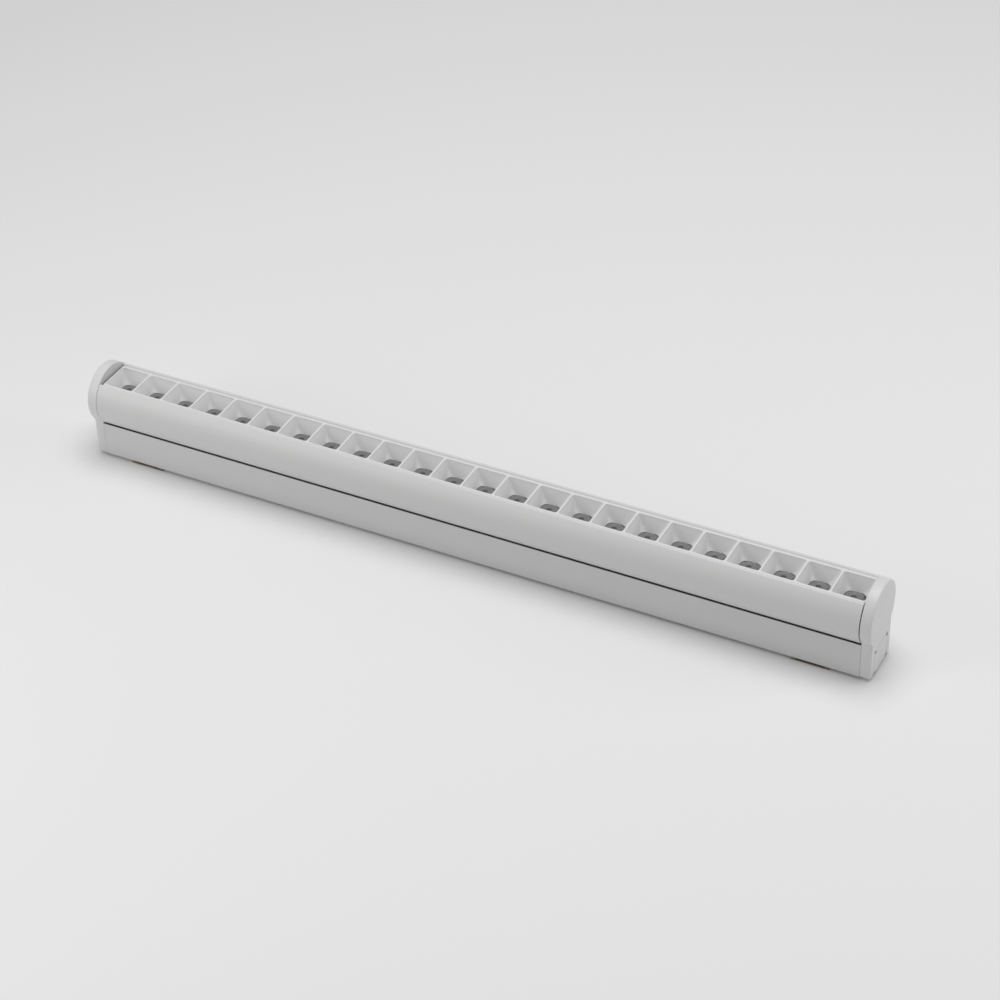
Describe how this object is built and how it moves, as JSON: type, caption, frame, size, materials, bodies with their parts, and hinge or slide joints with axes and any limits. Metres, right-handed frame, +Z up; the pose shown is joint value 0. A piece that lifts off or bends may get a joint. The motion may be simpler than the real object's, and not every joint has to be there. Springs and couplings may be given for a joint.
{
  "type": "linear led batten",
  "caption": "Slim white linear LED batten: a round louvred light head tilts between two end caps above a box-section base on clips.",
  "frame": {"origin": "on the standing surface under the middle of the batten", "axes": "+X along the batten, +Y across it, +Z up out of the lit face"},
  "size_m": [0.5936, 0.045, 0.0677],
  "materials": {
    "powder_white": "satin white powder coat over extruded aluminium",
    "cap_white": "satin moulded plastic",
    "cover_white": "satin moulded plastic",
    "louvre_white": "moulded white reflector plastic",
    "acrylic": "polished lens over a dark holder",
    "board_white": "white solder resist",
    "board_green": "green solder resist",
    "insulating_film": "folded insulating film",
    "terminal_grey": "moulded terminal block",
    "black_nylon": "fine moulded grain",
    "capacitor_sleeve": "shrunk sleeve",
    "yellow_tape": "wound insulating tape",
    "ferrite": "sintered ferrite",
    "lead_insulation": "soft insulation",
    "spring_steel": "rolled spring steel, passivated",
    "zinc_steel": "zinc plated",
    "tinned_brass": "tinned"
  },
  "bodies": {
    "base": {"base_channel": "powder_white", "control_chip": "black_nylon", "driver_board": "board_green", "driver_lead": "lead_insulation", "driver_tray": "insulating_film", "end_cap_left": "cap_white", "end_cap_right": "cap_white", "fuse": "black_nylon", "input_capacitor": "capacitor_sleeve", "input_terminal": "terminal_grey", "link_socket_left": "black_nylon", "link_socket_right": "black_nylon", "output_capacitor": "capacitor_sleeve", "output_inductor": "ferrite", "output_terminal": "terminal_grey", "rectifier": "black_nylon", "socket_contact_left_1": "tinned_brass", "socket_contact_left_2": "tinned_brass", "socket_contact_left_3": "tinned_brass", "socket_contact_right_1": "tinned_brass", "socket_contact_right_2": "tinned_brass", "socket_contact_right_3": "tinned_brass", "socket_cover_left": "cover_white", "socket_cover_right": "cover_white", "transformer": "yellow_tape"},
    "head": {"end_plug_left": "black_nylon", "end_plug_right": "black_nylon", "friction_washer_left": "spring_steel", "friction_washer_right": "spring_steel", "head_lead": "lead_insulation", "head_profile": "powder_white", "led_board": "board_white", "lens_strip": "acrylic", "louvre": "louvre_white", "plug_screw_left_1": "zinc_steel", "plug_screw_left_2": "zinc_steel", "plug_screw_right_1": "zinc_steel", "plug_screw_right_2": "zinc_steel", "stop_pin": "zinc_steel"},
    "clip_left": {"mounting_clip_left": "spring_steel"},
    "clip_right": {"mounting_clip_right": "spring_steel"}
  },
  "joints": [
    {"name": "head_tilt", "type": "hinge", "parent": "base", "child": "head", "pos_m": [0, 0, 0.0452], "axis": [1, 0, 0], "range_deg": [-60, 60]},
    {"name": "clip_left_slide", "type": "slide", "parent": "base", "child": "clip_left", "axis": [1, 0, 0], "range_m": [-0.018, 0.16]},
    {"name": "clip_right_slide", "type": "slide", "parent": "base", "child": "clip_right", "axis": [1, 0, 0], "range_m": [-0.16, 0.018]}
  ]
}
